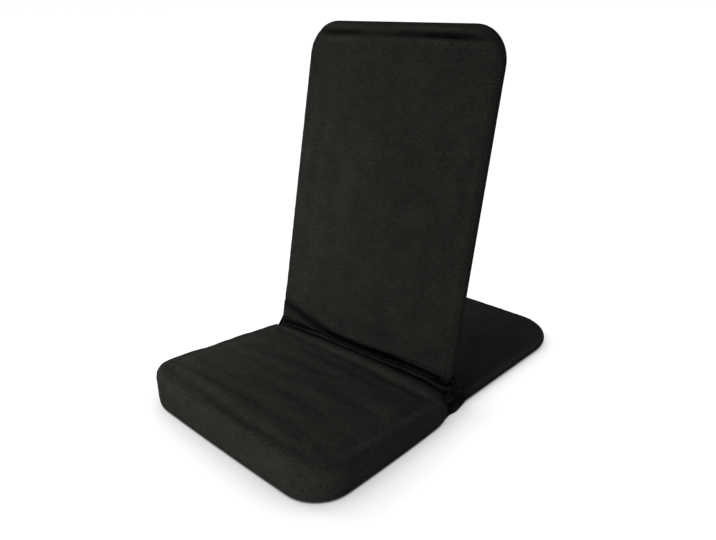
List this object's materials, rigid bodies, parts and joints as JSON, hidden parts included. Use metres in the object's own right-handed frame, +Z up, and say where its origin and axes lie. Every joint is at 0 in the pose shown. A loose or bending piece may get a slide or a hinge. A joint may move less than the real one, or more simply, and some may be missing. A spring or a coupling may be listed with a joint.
{
  "type": "folding floor chair",
  "caption": "Folding floor chair: a thick boxed seat cushion, a tall padded-cloth back and a flat floor support behind it, hinged on steel brackets, in black canvas.",
  "frame": {"origin": "on the floor, at the middle of the footprint of the open chair", "axes": "+Y backwards, from the cushion's front edge to the rear support's far end; +X to the right of someone facing the chair's front; +Z up"},
  "size_m": [0.52, 0.825, 0.7197],
  "materials": {
    "black_canvas": "matt plain-woven cotton canvas",
    "foam": "open-cell polyurethane foam",
    "black_steel": "satin powder coat",
    "zinc_steel": "zinc plated",
    "black_plastic": "moulded, matt",
    "white_plastic": "moulded nylon, matt"
  },
  "bodies": {
    "seat": {"seat_foam": "foam", "seat_top_cloth": "black_canvas", "seat_side_band": "black_canvas", "seat_bottom_cloth": "black_canvas", "seat_tunnel": "black_canvas", "hinge_gusset": "black_canvas", "hinge_flap_left": "black_canvas", "hinge_flap_right": "black_canvas", "hinge_bracket_left": "black_steel", "hinge_bracket_right": "black_steel", "cross_tube": "black_steel", "cross_tube_plugs": "black_plastic", "cross_tube_screws": "zinc_steel", "back_pivot_bushes": "white_plastic", "rear_pivot_bushes": "white_plastic"},
    "backrest": {"back_frame": "black_steel", "back_rail": "black_steel", "back_plugs": "black_plastic", "back_front_cloth": "black_canvas", "back_rear_cloth": "black_canvas", "back_pivot_bolts": "zinc_steel", "back_pivot_washers": "zinc_steel"},
    "rear_support": {"rear_frame": "black_steel", "rear_rail": "black_steel", "rear_plugs": "black_plastic", "rear_top_cloth": "black_canvas", "rear_bottom_cloth": "black_canvas", "rear_pivot_bolts": "zinc_steel", "rear_pivot_washers": "zinc_steel"}
  },
  "joints": [
    {"name": "back_fold", "type": "hinge", "parent": "seat", "child": "backrest", "pos_m": [0, -0.0383, 0.057], "axis": [1, 0, 0], "range_deg": [0, 95], "deforming": ["hinge_gusset"]},
    {"name": "rear_fold", "type": "hinge", "parent": "seat", "child": "rear_support", "pos_m": [0, -0.0025, 0.01245], "axis": [-1, 0, 0], "range_deg": [0, 160]}
  ]
}
